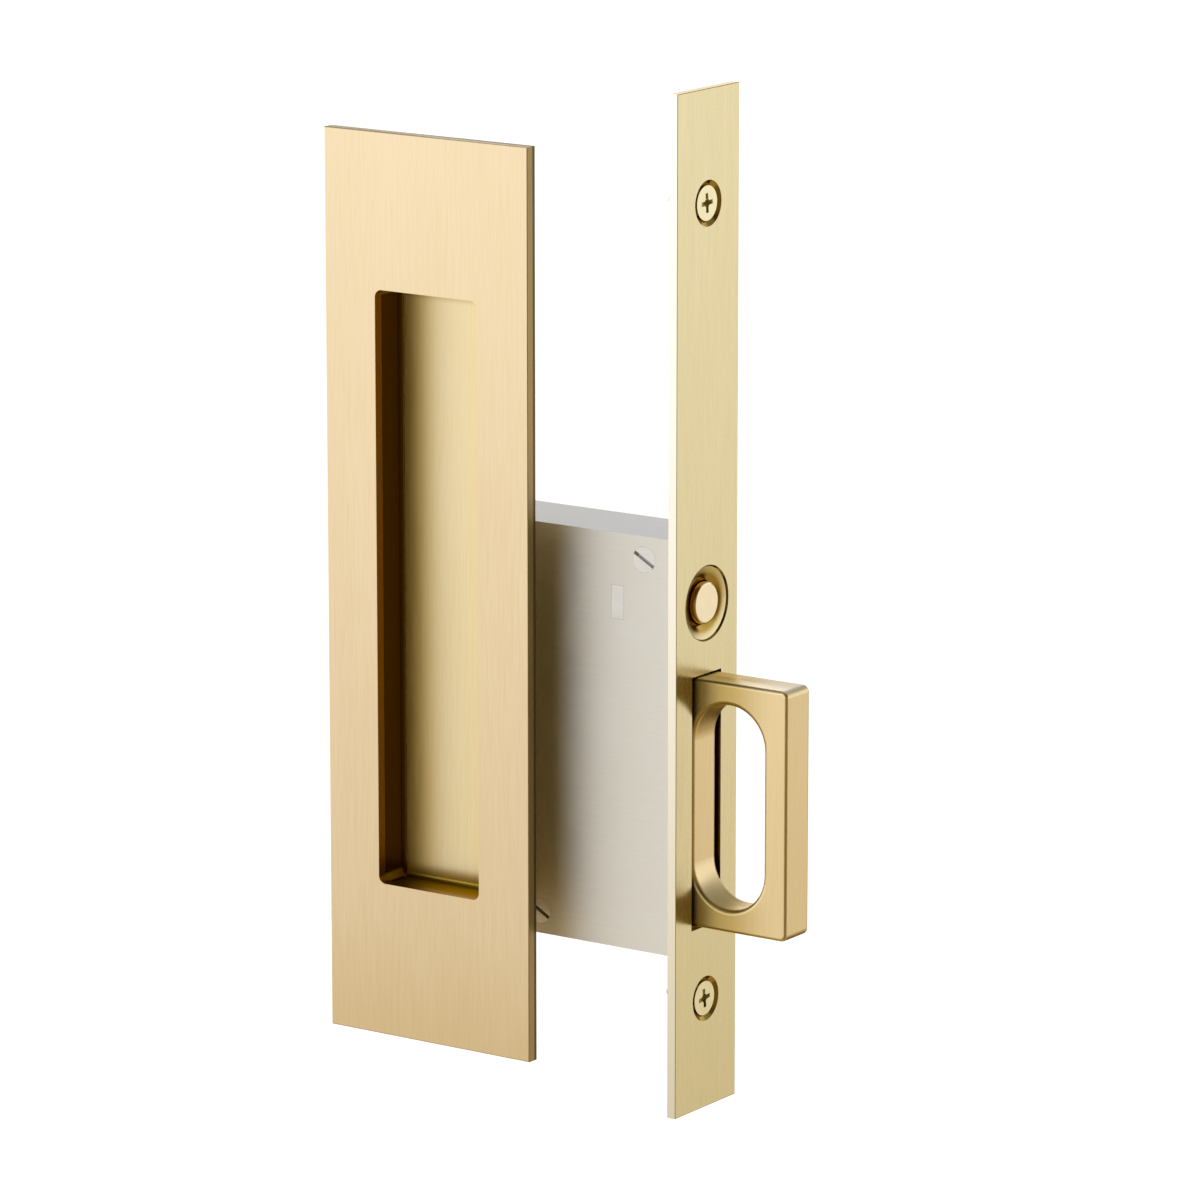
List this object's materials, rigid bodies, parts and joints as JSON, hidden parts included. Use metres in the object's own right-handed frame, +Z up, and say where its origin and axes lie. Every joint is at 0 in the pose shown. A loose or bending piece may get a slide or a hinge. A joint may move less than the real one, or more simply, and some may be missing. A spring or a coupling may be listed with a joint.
{
  "type": "pocket door lock",
  "caption": "Satin brass pocket door lock: flush pull with a deep cup, and an edge plate with release button, spring-out finger pull and steel mortise case behind it.",
  "frame": {"origin": "Centre of the back face of the edge plate, where it lies on the door's edge.", "axes": "+X out of the door's edge, the way the pull comes out; -Y towards the face of the door that carries the flush pull; +Z up."},
  "size_m": [0.1034, 0.0312, 0.2118],
  "materials": {
    "faceplate_brass": "satin",
    "bright_brass": "polished",
    "pull_brass": "brushed",
    "button_brass": "polished",
    "flush_brass": "brushed",
    "cup_brass": "brushed",
    "post_brass": "turned",
    "case_zinc": "bright zinc plate",
    "case_hardware": "zinc plate",
    "working_steel": "plain",
    "spring_steel": "drawn wire"
  },
  "bodies": {
    "lock_body": {"faceplate": "faceplate_brass", "faceplate_screws": "bright_brass", "case_body": "case_zinc", "case_cover": "case_zinc", "case_pillars": "case_hardware", "cover_screws": "case_hardware", "lug_screws": "case_hardware", "guide_pins": "case_hardware", "pull_spring": "spring_steel", "spring_rod": "case_hardware", "rod_guide": "case_hardware", "button_spring": "spring_steel", "catch_pivot": "case_hardware", "flush_plate": "flush_brass", "flush_cup": "cup_brass", "flush_posts": "post_brass"},
    "pull": {"edge_pull": "pull_brass", "pull_slide": "working_steel", "pull_rivets": "working_steel"},
    "button": {"release_button": "button_brass", "push_rod": "working_steel", "rod_pin": "working_steel"},
    "catch": {"catch_lever": "working_steel"}
  },
  "joints": [
    {"name": "pull_out", "type": "slide", "parent": "lock_body", "child": "pull", "axis": [1, 0, 0], "range_m": [-0.0223, 0], "stiffness_N_per_m": 120, "springref_m": 0.02, "deforming": ["pull_spring"]},
    {"name": "button_press", "type": "slide", "parent": "lock_body", "child": "button", "axis": [1, 0, 0], "range_m": [-0.002, 0.0008], "stiffness_N_per_m": 500, "deforming": ["button_spring"]},
    {"name": "catch_swing", "type": "hinge", "parent": "lock_body", "child": "catch", "pos_m": [-0.0358, 0, -0.0079], "axis": [0, 1, 0], "range_deg": [-13.6, 5.5]}
  ],
  "couplings": [
    {"joint": "catch_swing", "follows": "button_press", "rad_per_m": 117.65}
  ]
}
